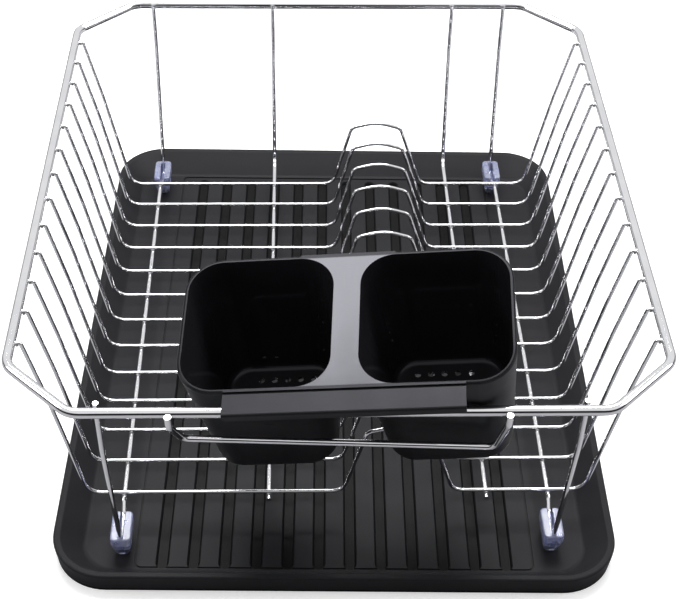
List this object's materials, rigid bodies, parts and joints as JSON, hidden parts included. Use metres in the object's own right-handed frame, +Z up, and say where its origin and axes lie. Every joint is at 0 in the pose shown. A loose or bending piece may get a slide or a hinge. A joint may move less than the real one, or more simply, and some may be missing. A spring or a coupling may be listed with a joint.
{
  "type": "dish drying rack",
  "caption": "Welded wire dish drying rack with a plate divider and clear plastic feet, standing in a grooved drain tray, with a utensil holder hooked on its rim.",
  "frame": {"origin": "on the table, at the middle of the rack's footprint, level with the underside of the drain tray", "axes": "+X to the right seen from the utensil-holder side, +Y towards the back, +Z up"},
  "size_m": [0.3628, 0.4343, 0.1911],
  "materials": {
    "wire": "polished chrome plating",
    "clear_foot": "clear, slightly blue, glossy",
    "tray_plastic": "black, fine matt",
    "holder_plastic": "black, glossy"
  },
  "bodies": {
    "tray": {"drain_tray": "tray_plastic"},
    "rack": {"rim_bar": "wire", "cross_wire_01": "wire", "cross_wire_02": "wire", "cross_wire_03": "wire", "cross_wire_04": "wire", "cross_wire_05": "wire", "cross_wire_06": "wire", "cross_wire_07": "wire", "cross_wire_08": "wire", "cross_wire_09": "wire", "cross_wire_10": "wire", "cross_wire_11": "wire", "cross_wire_12": "wire", "cross_wire_13": "wire", "outer_long_wire_left": "wire", "outer_long_wire_right": "wire", "inner_long_wire_left": "wire", "inner_long_wire_right": "wire", "holder_guard_wire": "wire", "foot_front_left": "clear_foot", "foot_front_right": "clear_foot", "foot_back_left": "clear_foot", "foot_back_right": "clear_foot"},
    "holder": {"utensil_holder": "holder_plastic"}
  },
  "joints": [
    {"name": "rack_lift", "type": "slide", "parent": "tray", "child": "rack", "axis": [0, 0, 1], "range_m": [0, 0.15]},
    {"name": "holder_lift", "type": "slide", "parent": "rack", "child": "holder", "axis": [0, 0, 1], "range_m": [0, 0.12]}
  ]
}
